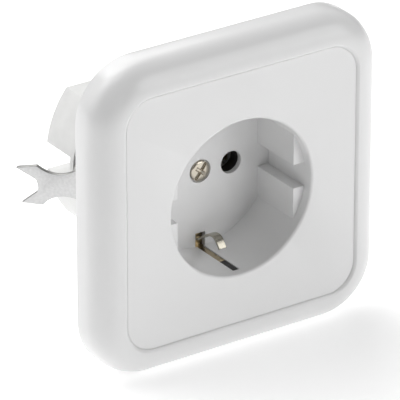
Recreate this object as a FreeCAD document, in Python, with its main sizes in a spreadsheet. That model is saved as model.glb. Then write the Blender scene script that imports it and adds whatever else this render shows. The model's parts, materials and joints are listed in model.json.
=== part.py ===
import FreeCAD, Part
import math
import os
import re
import Sketcher
from FreeCAD import Matrix, Placement, Rotation, Vector

# Flush-mounted earthed socket outlet with spreading claws, in millimetres.
# The origin is the centre of the plate in the plane of the wall. +Z is up, +X is right, the front
# faces -Y, and +Y runs into the wall.

SIZES = [
    # frame and centre plate
    ("frame_side", 86.0, "outer side of the square frame"),
    ("frame_front", 11.2, "how far the frame stands in front of the wall"),
    ("frame_corner", 16.0, "outer corner radius of the frame"),
    ("frame_round", 7.4, "rounding of the frame's front edge"),
    ("frame_wall", 2.4, "wall of the frame"),
    ("lip_rise", 0.6, "how far the frame stands proud of the centre plate"),
    ("lip_width", 0.7, "width of the sloped lip round the window"),
    ("window_side", 69.6, "side of the frame's window"),
    ("window_corner", 8.0, "corner radius of the window"),
    ("ledge_width", 2.2, "ledge that the centre plate rests on"),
    ("ledge_thick", 1.6, "thickness of that ledge"),
    ("plate_gap", 0.12, "gap between centre plate and frame"),
    ("plate_thick", 2.2, "thickness of the centre plate"),
    # bowl of the centre plate
    ("bowl_radius", 21.3, "inner radius of the bowl"),
    ("bowl_wall", 1.4, "wall of the bowl"),
    ("bowl_depth", 19.1, "from plate front to bowl floor"),
    ("bowl_floor", 1.5, "thickness of the bowl's floor"),
    ("mouth_round", 0.8, "rounding of the bowl's mouth"),
    ("flat_reach", 17.7, "from centre to the flat guide blocks"),
    ("flat_start", 3.0, "from plate front to the blocks"),
    ("groove_width", 6.6, "groove between the guide blocks"),
    ("pin_pitch", 19.0, "distance between the two pin holes"),
    ("pin_hole", 6.2, "diameter of a pin hole"),
    ("pin_size", 4.8, "diameter of a plug's pin"),
    ("earth_slot", 2.0, "width of the slot in the bowl's wall"),
    ("earth_slot_end", 2.7, "from plate front to the end of that slot"),
    ("earth_hole", 3.0, "width of the hole for the earth spring"),
    ("earth_hole_in", 17.4, "from centre to the inner edge of that hole"),
    # support ring
    ("ring_side", 71.0, "side of the support ring"),
    ("ring_thick", 1.2, "sheet of the support ring"),
    ("ring_corner", 9.0, "corner radius of the ring"),
    ("fix_pitch", 60.0, "distance between the two fixing slots"),
    ("fix_slot", 3.8, "width of a fixing slot"),
    ("fix_slot_long", 7.0, "length of a fixing slot"),
    ("leg_width", 6.0, "width of the ring's legs"),
    ("leg_long", 9.0, "reach of the ring's legs behind the wall plane"),
    # insulating parts
    ("fit_gap", 0.2, "clearance between parts that are put together"),
    ("carrier_wall", 2.0, "wall of the contact carrier"),
    ("carrier_floor", 3.0, "floor of the contact carrier"),
    ("housing_radius", 27.5, "outer radius of the rear housing"),
    ("back_wall", 3.6, "wall behind the terminals, up to the back of the housing"),
    ("housing_flat", 17.6, "from centre to the housing's flats"),
    ("shoulder_end", 16.5, "where the round front of the housing ends"),
    ("notch_width", 7.6, "width of the notches at the back"),
    ("notch_start", 27.2, "where the notches begin"),
    ("notch_in", 20.0, "from centre to the floor of the notches"),
    ("pocket_width", 14.0, "width of the pocket for a claw's root"),
    ("pocket_in", 21.5, "from centre to the floor of that pocket"),
    ("pocket_start", 11.5, "where the pocket begins"),
    ("pocket_end", 25.5, "where the pocket ends"),
    ("carrier_screw_x", 14.0, "sideways place of the carrier's screws"),
    ("carrier_screw_z", 13.0, "upward place of the carrier's screws"),
    ("small_screw", 2.2, "thread of the carrier's screws"),
    ("small_screw_long", 6.5, "length of their shanks"),
    ("small_head", 4.2, "head of the carrier's screws"),
    ("small_head_high", 1.4, "height of that head"),
    # contacts
    ("brass_sheet", 0.8, "sheet of contacts and earth strap"),
    ("contact_width", 5.0, "width of a contact's fingers"),
    ("contact_long", 12.7, "length of a contact"),
    ("contact_deep", 1.5, "from the carrier's back to a contact"),
    ("pin_squeeze", 0.1, "how much the fingers are closer than the pin on each side"),
    ("block_side", 7.0, "side of a terminal block"),
    ("block_high", 8.0, "height of a terminal block"),
    ("wire_hole", 3.4, "hole for a wire in a terminal block"),
    ("screw_size", 3.0, "thread of the terminal and claw screws"),
    ("thread_play", 0.05, "play of a thread on its radius"),
    ("wire_drop", 1.0, "how far the wire hole is off the block's middle"),
    ("terminal_head", 5.2, "head of a terminal screw"),
    ("terminal_head_high", 1.8, "height of that head"),
    ("head_gap", 1.4, "from a terminal block to the screw's head"),
    ("drive_slot", 0.8, "width of a screw's slot"),
    ("drive_deep", 0.9, "depth of a screw's slot"),
    ("earth_block", 9.0, "from centre down to the earth terminal"),
    ("earth_block_long", 10.0, "length of the earth terminal"),
    ("strap_width", 8.0, "width of the earth strap"),
    ("strap_leg", 1.8, "width of the strap's upturned legs"),
    ("strap_leg_end", 9.4, "from plate front to the end of those legs"),
    ("strap_tongue", 4.0, "width of the strap's tongue at the earth terminal"),
    # earth springs
    ("spring_width", 2.3, "width of an earth spring"),
    ("spring_sheet", 0.5, "sheet of an earth spring"),
    ("spring_nose", 15.45, "from centre to the middle of the sheet at the nose"),
    ("spring_root", 19.2, "from centre to the spring's root"),
    ("spring_nose_deep", 12.2, "from plate front to the nose"),
    ("spring_curl_deep", 8.9, "from plate front to the curled end"),
    ("spring_curl", 2.4, "how far the curled end drops from the nose"),
    # centre screw
    ("centre_screw", 3.5, "thread of the cover's screw"),
    ("centre_head", 5.6, "head of the cover's screw"),
    ("centre_head_high", 1.2, "height of that head"),
    ("centre_recess", 6.4, "round recess in the bowl's floor round that head"),
    ("centre_recess_deep", 0.9, "depth of that recess"),
    ("centre_tip", 4.0, "how far that screw reaches behind its nut"),
    ("nut_side", 5.5, "side of its square nut"),
    ("nut_thick", 2.4, "thickness of that nut"),
    # claws
    ("claw_reach", 25.9, "from centre to the axis of a claw's screw"),
    ("claw_pivot", 20.1, "from wall plane to a claw's pivot"),
    ("claw_sheet", 1.0, "sheet of a claw"),
    ("claw_offset", 2.85, "from pivot to the middle of the claw's sheet"),
    ("claw_tip", 17.96, "from pivot to the claw's tips"),
    ("claw_tip_half", 5.16, "half the distance between the tips"),
    ("claw_shoulder", 12.4, "from pivot to the claw's shoulders"),
    ("claw_shoulder_half", 5.73, "half the width over the shoulders"),
    ("claw_waist", 6.6, "from pivot to the claw's waist"),
    ("claw_waist_half", 3.2, "half the width of the waist"),
    ("claw_fork", 12.9, "from pivot to the bottom of the fork"),
    ("claw_root_half", 4.3, "half the width at the root"),
    ("claw_ear", 3.2, "radius of the ears round the pivot"),
    ("claw_back_angle", 47.9, "angle of a claw behind the plane of the wall, in degrees"),
    ("claw_roll", 8.5, "how far a claw has rolled about its screw, in degrees"),
    ("nut_radius", 2.2, "radius of a claw's cross nut"),
    ("claw_head", 5.6, "head of a claw's screw"),
    ("claw_head_high", 1.9, "height of that head"),
    ("claw_screw_end", 4.0, "from pivot to the end of the claw's screw"),
]

doc = FreeCAD.newDocument("socket_outlet")
sheet = doc.addObject("Spreadsheet::Sheet", "Dims")
for row, (alias, number, meaning) in enumerate(SIZES, start=1):
    sheet.set("A%d" % row, str(number))
    sheet.setAlias("A%d" % row, alias)
    sheet.set("B%d" % row, meaning)
doc.recompute()

D = {alias: float(sheet.get(alias)) for alias, number, meaning in SIZES}
PARTS = []
X_AXIS, Y_AXIS, Z_AXIS = Vector(1, 0, 0), Vector(0, 1, 0), Vector(0, 0, 1)


# ------------------------------------------------------------------------------------- expressions

def ex(text):
    """Point each alias in an expression at the sheet."""
    return re.sub(r"[a-z_]+", lambda m: "Dims." + m.group() if m.group() in D else m.group(), str(text))


def num(text):
    """The present value of an expression of aliases."""
    return float(sheet.evalExpression(ex(text)))


def bind(thing, prop, text):
    thing.setExpression(prop, ex(text))


def keep(thing, label):
    """Name a finished sub-part and put it on the list that is written out."""
    thing.Label = label
    PARTS.append(thing)
    return thing


def put(thing, x="0", y="0", z="0", turn=None):
    """Give a sub-part its place, tied to the sheet."""
    if turn is not None:
        thing.Placement = Placement(Vector(num(x), num(y), num(z)), turn)
    for axis, text in zip("xyz", (x, y, z)):
        bind(thing, "Placement.Base." + axis, text)


# ------------------------------------------------------------------- sketches and solids of a Body

def new_body(label):
    return keep(doc.addObject("PartDesign::Body", "Body_" + label), label)


def sketch_on(body, plane, offset="0"):
    """A sketch on one of the body's origin planes, moved along the plane's normal."""
    sketch = body.newObject("Sketcher::SketchObject", "Sketch")
    support = [f for f in body.Origin.OriginFeatures if f.Role == plane + "_Plane"][0]
    sketch.AttachmentSupport = (support, [""])
    sketch.MapMode = "FlatFace"
    bind(sketch, "AttachmentOffset.Base.z", offset)
    return sketch


def constrain(sketch, text, kind, *where):
    index = sketch.addConstraint(Sketcher.Constraint(kind, *where, num(text)))
    bind(sketch, "Constraints[%d]" % index, text)


def fix_point(sketch, geo, pos, x_text, y_text):
    """Tie a point of the sketch to two expressions."""
    constrain(sketch, x_text, "DistanceX", -1, 1, geo, pos)
    constrain(sketch, y_text, "DistanceY", -1, 1, geo, pos)


def polygon(points):
    """Draws a closed outline whose corners are all tied to the sheet."""
    def draw(sketch):
        places = [Vector(num(x), num(y), 0) for x, y in points]
        count = len(places)
        for i in range(count):
            sketch.addGeometry(Part.LineSegment(places[i], places[(i + 1) % count]), False)
        for i in range(count):
            sketch.addConstraint(Sketcher.Constraint("Coincident", i, 2, (i + 1) % count, 1))
        for i, (x, y) in enumerate(points):
            fix_point(sketch, i, 1, x, y)
    return draw


def rectangle(x0, y0, x1, y1):
    return polygon([(x0, y0), (x1, y0), (x1, y1), (x0, y1)])


def square(half, corner=None):
    """Draws a square about the centre, with round corners if a radius is given."""
    if corner is None:
        return rectangle("-(%s)" % half, "-(%s)" % half, half, half)

    def draw(sketch):
        straight = "(%s - (%s))" % (half, corner)
        inset, radius = num(straight), num(corner)
        turns = [(1, 0), (0, 1), (-1, 0), (0, -1)]
        arcs = []
        for (ax, ay), (bx, by) in zip(turns, turns[1:] + turns[:1]):
            middle = Vector((ax + bx) * inset, (ay + by) * inset, 0)
            start, end = Vector(ax, ay, 0) * radius, Vector(bx, by, 0) * radius
            arcs.append((middle + start, middle + (start + end) * math.sqrt(0.5), middle + end))
        for i, arc in enumerate(arcs):
            sketch.addGeometry(Part.Arc(*arc))
            sketch.addGeometry(Part.LineSegment(arc[2], arcs[(i + 1) % 4][0]))
        for i, (right, up) in enumerate(((1, 1), (-1, 1), (-1, -1), (1, -1))):
            sketch.addConstraint(Sketcher.Constraint("Tangent", 2 * i, 2, 2 * i + 1, 1))
            sketch.addConstraint(Sketcher.Constraint("Tangent", 2 * i + 1, 2, (2 * i + 2) % 8, 1))
            fix_point(sketch, 2 * i, 3, "%d*%s" % (right, straight), "%d*%s" % (up, straight))
            constrain(sketch, corner, "Radius", 2 * i)
    return draw


def disc(radius, x="0", y="0"):
    """Draws a circle tied to the sheet."""
    def draw(sketch):
        ring = Part.Circle(Vector(num(x), num(y), 0), Z_AXIS, num(radius))
        geo = sketch.addGeometry(ring, False)
        fix_point(sketch, geo, 3, x, y)
        constrain(sketch, radius, "Radius", geo)
    return draw


def upright_slot(middle, long, width):
    """Draws a slot with round ends that runs up and down."""
    def draw(sketch):
        reach = "(%s - %s)/2" % (long, width)
        radius = num(width + "/2")
        top = Vector(0, num(middle + " + " + reach), 0)
        bottom = Vector(0, num(middle + " - " + reach), 0)
        side, up = Vector(radius, 0, 0), Vector(0, radius, 0)
        sketch.addGeometry(Part.Arc(top + side, top + up, top - side))
        sketch.addGeometry(Part.LineSegment(top - side, bottom - side))
        sketch.addGeometry(Part.Arc(bottom - side, bottom - up, bottom + side))
        sketch.addGeometry(Part.LineSegment(bottom + side, top + side))
        fix_point(sketch, 0, 3, "0", middle + " + " + reach)
        fix_point(sketch, 2, 3, "0", middle + " - " + reach)
        constrain(sketch, width + "/2", "Radius", 0)
        constrain(sketch, width + "/2", "Radius", 2)
        for geo in range(4):
            sketch.addConstraint(Sketcher.Constraint("Tangent", geo, 2, (geo + 1) % 4, 1))
    return draw


def volume_now(body):
    doc.recompute()
    return 0.0 if body.Shape.isNull() else body.Shape.Volume


def made(body, before, grows):
    """Stop if the last feature of a body changed nothing."""
    now = volume_now(body)
    if (now <= before) if grows else (now >= before):
        raise RuntimeError("a feature of %s changed nothing" % body.Label)


def extrude(body, plane, offset, length, draw, cut, backwards):
    before = volume_now(body)
    sketch = sketch_on(body, plane, offset)
    draw(sketch)
    feature = body.newObject("PartDesign::Pocket" if cut else "PartDesign::Pad", "Slab")
    feature.Profile = sketch
    bind(feature, "Length", length)
    feature.Reversed = backwards
    made(body, before, not cut)


def slab(body, y_front, y_back, draw):
    """Add the outline's prism from y_front back to y_back."""
    extrude(body, "XZ", "-(%s)" % y_front, "(%s) - (%s)" % (y_back, y_front), draw, False, True)


def hollow(body, y_front, y_back, draw):
    """Cut the outline's prism from y_front back to y_back."""
    extrude(body, "XZ", "-(%s)" % y_front, "(%s) - (%s)" % (y_back, y_front), draw, True, False)


def layer(body, z_low, z_high, draw):
    """Add the outline's prism from z_low up to z_high."""
    extrude(body, "XY", z_low, "(%s) - (%s)" % (z_high, z_low), draw, False, False)


def well(body, z_low, z_high, draw):
    """Cut the outline's prism from z_low up to z_high."""
    extrude(body, "XY", z_low, "(%s) - (%s)" % (z_high, z_low), draw, True, True)


def turned(body, points):
    """Turn a closed half profile of (radius, y) points about the body's Y axis."""
    before = volume_now(body)
    sketch = sketch_on(body, "XY")
    polygon(points)(sketch)
    feature = body.newObject("PartDesign::Revolution", "Turn")
    feature.Profile = sketch
    feature.ReferenceAxis = (sketch, ["V_Axis"])
    feature.Angle = 360.0
    made(body, before, True)


def soften(body, test, radius, kind="Fillet"):
    """Fillet or chamfer the edges that pass a test."""
    doc.recompute()
    base = body.Tip
    names = ["Edge%d" % i for i, edge in enumerate(base.Shape.Edges, start=1) if test(edge)]
    if not names:
        raise RuntimeError("no edge to soften on " + body.Label)
    feature = body.newObject("PartDesign::" + kind, kind)
    feature.Base = (base, names)
    bind(feature, "Radius" if kind == "Fillet" else "Size", radius)
    doc.recompute()
    return feature


NEAR = 1e-4


def along(edge):
    """The edge's ends and its middle."""
    first, last = edge.FirstParameter, edge.LastParameter
    return [edge.valueAt(u) for u in (first, (first + last) / 2, last)]


def rim_edges(y, half):
    """Edges in the plane y that lie on a rounded square of this half side."""
    def test(edge):
        points = along(edge)
        if any(abs(p.y - y) > NEAR for p in points):
            return False
        reach = max(abs(points[1].x), abs(points[1].z))
        return half * 0.85 < reach < half + NEAR
    return test


def ring_edge(y, radius):
    """The round edge of this radius in the plane y."""
    def test(edge):
        return all(abs(p.y - y) < NEAR and abs(math.hypot(p.x, p.z) - radius) < NEAR for p in along(edge))
    return test


# ------------------------------------------------- planes and reaches that several parts share

PANEL = "(lip_rise - frame_front)"
PLATE_BACK = "(lip_rise - frame_front + plate_thick)"
FLOOR = "(lip_rise - frame_front + bowl_depth)"
FLOOR_BACK = "(lip_rise - frame_front + bowl_depth + bowl_floor)"
BODY_FRONT = "(fit_gap/2)"
CARRIER_FLOOR = "(lip_rise - frame_front + bowl_depth + bowl_floor + fit_gap)"
CARRIER_BACK = "(lip_rise - frame_front + bowl_depth + bowl_floor + fit_gap + carrier_floor)"
SCREW_SEAT = "(lip_rise - frame_front + bowl_depth + centre_recess_deep)"
STRAP_FRONT = "(lip_rise - frame_front + bowl_depth + bowl_floor + fit_gap/2)"
STRAP_BACK = "(%s + brass_sheet)" % STRAP_FRONT
LEG_NEAR = "(bowl_radius + fit_gap)"
LEG_FAR = "(bowl_radius + fit_gap + brass_sheet)"
LEG_FRONT = "(lip_rise - frame_front + strap_leg_end)"
BOWL_OUT = "(bowl_radius + bowl_wall)"
CARRIER_IN = "(bowl_radius + bowl_wall + fit_gap)"
CARRIER_OUT = "(bowl_radius + bowl_wall + fit_gap + carrier_wall)"
CONTACT_FRONT = "(%s + contact_deep)" % CARRIER_BACK
SCREW_WAY = "(screw_size/2 + fit_gap)"
CONTACT_HALF = "(pin_size/2 - pin_squeeze + brass_sheet)"
BLOCK_FRONT = "(%s + contact_long + fit_gap/2)" % CONTACT_FRONT
HOUSING_BACK = "(%s + block_side + fit_gap + back_wall)" % BLOCK_FRONT
LIVE_SCREW = "(%s + block_side/2)" % BLOCK_FRONT
EARTH_BLOCK_FRONT = "(%s + fit_gap)" % CARRIER_BACK
TONGUE_LOW = "-(earth_block + 2.8)"
TONGUE_HIGH = "-(earth_block + 2.8 - brass_sheet)"
EARTH_SCREW = "(%s + earth_block_long - block_side/2)" % EARTH_BLOCK_FRONT
BOTH = ("-", "")


# ------------------------------------------------------------------------- frame and centre plate

def cover_frame():
    body = new_body("cover_frame")
    slab(body, "-frame_front", "0", square("frame_side/2", "frame_corner"))
    soften(body, rim_edges(-D["frame_front"], D["frame_side"] / 2), "frame_round")
    hollow(body, "-frame_front", PLATE_BACK, square("window_side/2", "window_corner"))
    slope = soften(body, rim_edges(-D["frame_front"], D["window_side"] / 2), "lip_width", "Chamfer")
    slope.ChamferType = "Two distances"
    bind(slope, "Size2", "lip_rise")
    hollow(body, PLATE_BACK, "0", square("(window_side/2 - ledge_width)", "window_corner - ledge_width"))
    room = "(frame_side/2 - frame_wall)"
    room_front = PLATE_BACK + " + ledge_thick"
    hollow(body, room_front, "0", square(room, "frame_corner - frame_wall"))
    soften(body, rim_edges(num(room_front), num(room)), "frame_wall - 0.4")


def centre_plate():
    body = new_body("centre_plate")
    slab(body, PANEL, PLATE_BACK, square("(window_side/2 - plate_gap)", "window_corner - plate_gap"))
    slab(body, PLATE_BACK, FLOOR_BACK, disc(BOWL_OUT))
    hollow(body, PANEL, FLOOR, disc("bowl_radius"))
    soften(body, ring_edge(num(PANEL), D["bowl_radius"]), "mouth_round")
    for across in BOTH:
        for up in BOTH:
            slab(body, PANEL + " + flat_start", FLOOR, guide_block(across, up))
    hollow(body, FLOOR, SCREW_SEAT, disc("centre_recess/2"))
    hollow(body, SCREW_SEAT, FLOOR_BACK, disc("centre_screw/2 + fit_gap"))
    for sign in BOTH:
        hollow(body, FLOOR, FLOOR_BACK, disc("pin_hole/2", sign + "pin_pitch/2"))
        slot_end = PANEL + " + earth_slot_end"
        slot_out = sign + "(bowl_radius + bowl_wall + 1)"
        slot_in = sign + "earth_hole_in"
        hollow(body, slot_end, FLOOR, rectangle("-earth_slot/2", slot_in, "earth_slot/2", slot_out))
        hollow(body, FLOOR, FLOOR_BACK, rectangle("-earth_hole/2", slot_in, "earth_hole/2", slot_out))


def guide_block(across, up):
    """The outline of one block: a flat face beside the groove, backed by the bowl's wall."""
    deep = "(bowl_radius + bowl_wall/2)"
    beside = "sqrt(%s^2 - (groove_width/2)^2)" % deep
    above = "sqrt(%s^2 - flat_reach^2)" % deep
    return polygon([
        (across + "flat_reach", up + "groove_width/2"),
        (across + beside, up + "groove_width/2"),
        (across + deep + "*cos(22)", up + deep + "*sin(22)"),
        (across + "flat_reach", up + above),
    ])


# ------------------------------------------------------------------------------------ support ring

def support_ring():
    """A pressed steel plate with two fixing slots, holes for the claws' screws and four legs."""
    body = new_body("support_ring")
    slab(body, "-ring_thick", "0", square("ring_side/2", "ring_corner"))
    hollow(body, "-ring_thick", "0", disc(CARRIER_IN))
    for sign in BOTH:
        hollow(body, "-ring_thick", "0", upright_slot(sign + "fix_pitch/2", "fix_slot_long", "fix_slot"))
        hollow(body, "-ring_thick", "0", disc(SCREW_WAY, sign + "claw_reach"))
    for quarter in range(4):
        slab(body, "-ring_thick", "leg_long", ring_leg(45 + 90 * quarter))


def ring_leg(angle):
    """A leg's outline: it lies against the rear housing at this angle round the Y axis."""
    near = "(housing_radius + fit_gap)"
    far = "(housing_radius + fit_gap + ring_thick)"

    def place(r, t):
        return ("%s*cos(%d) - (%s)*sin(%d)" % (r, angle, t, angle),
                "%s*sin(%d) + (%s)*cos(%d)" % (r, angle, t, angle))

    half = "leg_width/2"
    return polygon([place(near, "-" + half), place(far, "-" + half), place(far, half), place(near, half)])


# -------------------------------------------------------------------------------- insulating parts

def screw_places():
    return [(x + "carrier_screw_x", z + "carrier_screw_z") for x in BOTH for z in BOTH]


def contact_carrier():
    """The dark inner cup behind the bowl: it holds the contacts down."""
    body = new_body("contact_carrier")
    slab(body, BODY_FRONT, CARRIER_BACK, disc(CARRIER_OUT))
    hollow(body, BODY_FRONT, CARRIER_FLOOR, disc(CARRIER_IN))
    for sign in BOTH:
        hollow(body, CARRIER_FLOOR, CARRIER_BACK, disc("pin_hole/2", sign + "pin_pitch/2"))
        relief = rectangle(sign + "(claw_reach - screw_size/2 - fit_gap)", "-" + SCREW_WAY,
                           sign + "housing_radius", SCREW_WAY)
        hollow(body, BODY_FRONT, CARRIER_BACK, relief)
    hollow(body, CARRIER_FLOOR, CARRIER_BACK, disc("centre_screw/2 + fit_gap"))
    wide = "(strap_width/2 + fit_gap)"
    bed = rectangle("-" + wide, "-" + CARRIER_IN, wide, CARRIER_IN)
    hollow(body, CARRIER_FLOOR, STRAP_BACK + " + fit_gap/2", bed)
    wide = "(strap_tongue/2 + fit_gap)"
    slit = rectangle("-" + wide, TONGUE_LOW + " - fit_gap", wide, TONGUE_HIGH + " + fit_gap")
    hollow(body, CARRIER_FLOOR, CARRIER_BACK, slit)
    for sign in BOTH:
        carrier_key(body, sign)
    for x, z in screw_places():
        hollow(body, CARRIER_FLOOR, CARRIER_BACK, disc("small_screw/2 + fit_gap/2", x, z))
        seat = CARRIER_FLOOR + " + small_head_high + fit_gap"
        hollow(body, CARRIER_FLOOR, seat, disc("small_head/2 + fit_gap", x, z))


def carrier_key(body, sign):
    """A key that fills the slot in the bowl's wall in front of the strap's leg."""
    half = "strap_leg/2"
    inner, behind, outer = "(bowl_radius + fit_gap)", "(%s + fit_gap)" % LEG_FAR, BOWL_OUT
    front, step = PANEL + " + earth_slot_end + fit_gap", LEG_FRONT + " - fit_gap"
    slab(body, step, CARRIER_FLOOR, rectangle("-" + half, sign + behind, half, sign + outer))
    slab(body, front, step, rectangle("-" + half, sign + inner, half, sign + outer))
    root = sign + "(%s + 0.1)" % CARRIER_IN
    slab(body, BODY_FRONT, CARRIER_FLOOR, rectangle("-" + half, sign + behind, half, root))


def rear_housing():
    """The white body in the wall box, with its pockets for contacts, claws and wires."""
    body = new_body("rear_housing")
    slab(body, BODY_FRONT, HOUSING_BACK, disc("housing_radius"))
    for sign in BOTH:
        outside = rectangle("-housing_radius", sign + "housing_flat",
                            "housing_radius", sign + "housing_radius")
        hollow(body, "shoulder_end", HOUSING_BACK, outside)
    hollow(body, BODY_FRONT, CARRIER_BACK + " + fit_gap/2", disc(CARRIER_OUT + " + fit_gap/2"))
    for sign in BOTH:
        housing_side(body, sign)
    housing_earth(body)
    for x, z in screw_places():
        hollow(body, CARRIER_BACK, CARRIER_BACK + " + small_screw_long",
               disc("small_screw/2 + thread_play", x, z))


def housing_side(body, sign):
    """One side: the claw screw's groove, the claw's pocket, the notch and a live contact's pocket."""
    edge = sign + "(housing_radius + 1)"
    groove = rectangle(sign + "(claw_reach - screw_size/2 - fit_gap)", "-" + SCREW_WAY, edge, SCREW_WAY)
    hollow(body, BODY_FRONT, "pocket_start", groove)
    pocket = rectangle(sign + "pocket_in", "-pocket_width/2", edge, "pocket_width/2")
    hollow(body, "pocket_start", "pocket_end", pocket)
    notch = rectangle(sign + "notch_in", "-notch_width/2", edge, "notch_width/2")
    hollow(body, "notch_start", HOUSING_BACK, notch)
    middle = sign + "pin_pitch/2"
    wide = "(block_side/2 + fit_gap)"
    tall = "(block_high/2 + fit_gap)"
    deep = BLOCK_FRONT + " + block_side + fit_gap"
    pocket = rectangle(middle + " - " + wide, "-" + tall, middle + " + " + wide, tall)
    hollow(body, CARRIER_BACK, deep, pocket)
    hollow(body, deep, HOUSING_BACK, disc("wire_hole/2 + fit_gap", middle, "-wire_drop"))
    well(body, tall, "housing_flat + 1", disc("terminal_head/2 + 2*fit_gap", middle, LIVE_SCREW))


def housing_earth(body):
    """The nut's seat and the earth terminal's pocket."""
    nut_back = CARRIER_BACK + " + nut_thick + fit_gap"
    hollow(body, CARRIER_BACK, nut_back, square("(nut_side/2 + fit_gap)"))
    hollow(body, nut_back, nut_back + " + centre_tip", disc("centre_screw/2 + fit_gap"))
    wide = "(block_side/2 + fit_gap)"
    top = "-(earth_block - block_high/2 - fit_gap)"
    low = "-(earth_block + block_high/2 + fit_gap)"
    deep = EARTH_BLOCK_FRONT + " + earth_block_long + fit_gap"
    hollow(body, CARRIER_BACK, deep, rectangle("-" + wide, low, wide, top))
    hollow(body, deep, HOUSING_BACK, disc("wire_hole/2 + fit_gap", "0", "-(earth_block - wire_drop)"))
    well(body, "-(housing_radius + 1)", low, disc("terminal_head/2 + 2*fit_gap", "0", EARTH_SCREW))


# ---------------------------------------------------------------------------- contacts and terminals

def live_contact(label, sign):
    """A brass fork whose two fingers grip a plug's pin."""
    body = new_body(label)
    gap = "(pin_size/2 - pin_squeeze)"
    half = CONTACT_HALF
    deep = "contact_long"
    fork = [("-" + half, "0"), ("-" + half, deep), (half, deep), (half, "0"), (gap, "0"),
            (gap, deep + " - brass_sheet"), ("-" + gap, deep + " - brass_sheet"), ("-" + gap, "0")]
    layer(body, "-contact_width/2", "contact_width/2", polygon(fork))
    put(body, sign + "pin_pitch/2", CONTACT_FRONT, "0")


def terminal_block(label, x, y, z, long, flip=1):
    """A brass block with a wire hole from the back and a screw hole from one side."""
    body = new_body(label)
    slab(body, "0", long, rectangle("-block_side/2", "-block_high/2", "block_side/2", "block_high/2"))
    hollow(body, "0", long, disc("wire_hole/2", "0", "-wire_drop"))
    screw_hole = disc("screw_size/2 + thread_play", "0", long + " - block_side/2")
    well(body, "-wire_drop", "block_high/2", screw_hole)
    put(body, x, y, z, Rotation(Y_AXIS, 0 if flip > 0 else 180))


def slotted_screw(label, head, head_high, shank, long, tip="0.4"):
    """A screw along its own Y axis: the head stands in front of zero, the shank behind it."""
    body = new_body(label)
    turned(body, [("0", "-" + head_high), (head + "/2 - 0.5", "-" + head_high),
                  (head + "/2", "-%s + 0.5" % head_high),
                  (head + "/2", "0"), (shank + "/2", "0"), (shank + "/2", long + " - " + tip),
                  (shank + "/2 - " + tip, long), ("0", long)])
    half = "drive_slot/2"
    hollow(body, "-" + head_high, "-%s + drive_deep" % head_high,
           rectangle("-" + head, "-" + half, head, half))
    return body


def terminal_screw(label, x, y, z, up):
    """The clamping screw of a terminal, with its head towards up (1) or down (-1)."""
    long = "(block_high/2 - wire_hole/2 + wire_drop + head_gap - fit_gap)"
    body = slotted_screw(label, "terminal_head", "terminal_head_high", "screw_size", long)
    put(body, x, y, z, Rotation(X_AXIS, -90 * up))


def box(x0, y0, z0, x1, y1, z1):
    """A Part box between two corners given as expressions."""
    solid = doc.addObject("Part::Box", "Block")
    for prop, low, high in (("Length", x0, x1), ("Width", y0, y1), ("Height", z0, z1)):
        bind(solid, prop, "(%s) - (%s)" % (high, low))
    put(solid, x0, y0, z0)
    return solid


def rod(x, y, z, radius, long):
    """A Part cylinder that runs back from y."""
    solid = doc.addObject("Part::Cylinder", "Rod")
    bind(solid, "Radius", radius)
    bind(solid, "Height", long)
    put(solid, x, y, z, Rotation(X_AXIS, -90))
    return solid


def join(*solids):
    whole = doc.addObject("Part::MultiFuse", "Joined")
    whole.Shapes = list(solids)
    return whole


def take_away(base, tool):
    left = doc.addObject("Part::Cut", "Cut")
    left.Base = base
    left.Tool = tool
    return left


def earth_strap():
    """The strap that joins both earth springs and the earth terminal."""
    half = "strap_width/2"
    pieces = [box("-" + half, STRAP_FRONT, "-" + LEG_FAR, half, STRAP_BACK, LEG_FAR)]
    foot_front = FLOOR + " + fit_gap"
    for low, high in (("-" + LEG_FAR, "-" + LEG_NEAR), (LEG_NEAR, LEG_FAR)):
        foot = "(earth_hole/2 - fit_gap)"
        pieces.append(box("-strap_leg/2", LEG_FRONT, low, "strap_leg/2", STRAP_BACK, high))
        pieces.append(box("-" + foot, foot_front, low, foot, STRAP_BACK, high))
    tongue = "strap_tongue/2"
    tongue_end = CARRIER_BACK + " + fit_gap/2"
    pieces.append(box("-" + tongue, STRAP_FRONT, TONGUE_LOW, tongue, tongue_end, TONGUE_HIGH))
    hole = rod("0", STRAP_FRONT + " - 1", "0", "centre_screw/2 + fit_gap", "brass_sheet + 2")
    keep(take_away(join(*pieces), hole), "earth_strap")


def strap_nut():
    body = new_body("cover_screw_nut")
    slab(body, "0", "nut_thick", square("nut_side/2"))
    hollow(body, "0", "nut_thick", disc("centre_screw/2 + thread_play"))
    put(body, "0", CARRIER_BACK + " + fit_gap/2", "0")


def cover_screw():
    long = "(%s + nut_thick + centre_tip - %s)" % (CARRIER_BACK, SCREW_SEAT)
    body = slotted_screw("cover_screw", "centre_head", "centre_head_high", "centre_screw", long)
    put(body, "0", SCREW_SEAT, "0")


def carrier_screws():
    """Four small screws that hold carrier and housing together, as separate solids."""
    screws = []
    for x, z in screw_places():
        seat = CARRIER_FLOOR + " + small_head_high + fit_gap"
        head = rod(x, CARRIER_FLOOR + " + fit_gap", z, "small_head/2", "small_head_high")
        shank = rod(x, seat, z, "small_screw/2", "small_screw_long")
        screws.append(join(head, shank))
    group = doc.addObject("Part::Compound", "CarrierScrews")
    group.Links = screws
    keep(group, "carrier_screws")


# ------------------------------------------------------------------------------------ earth springs

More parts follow.
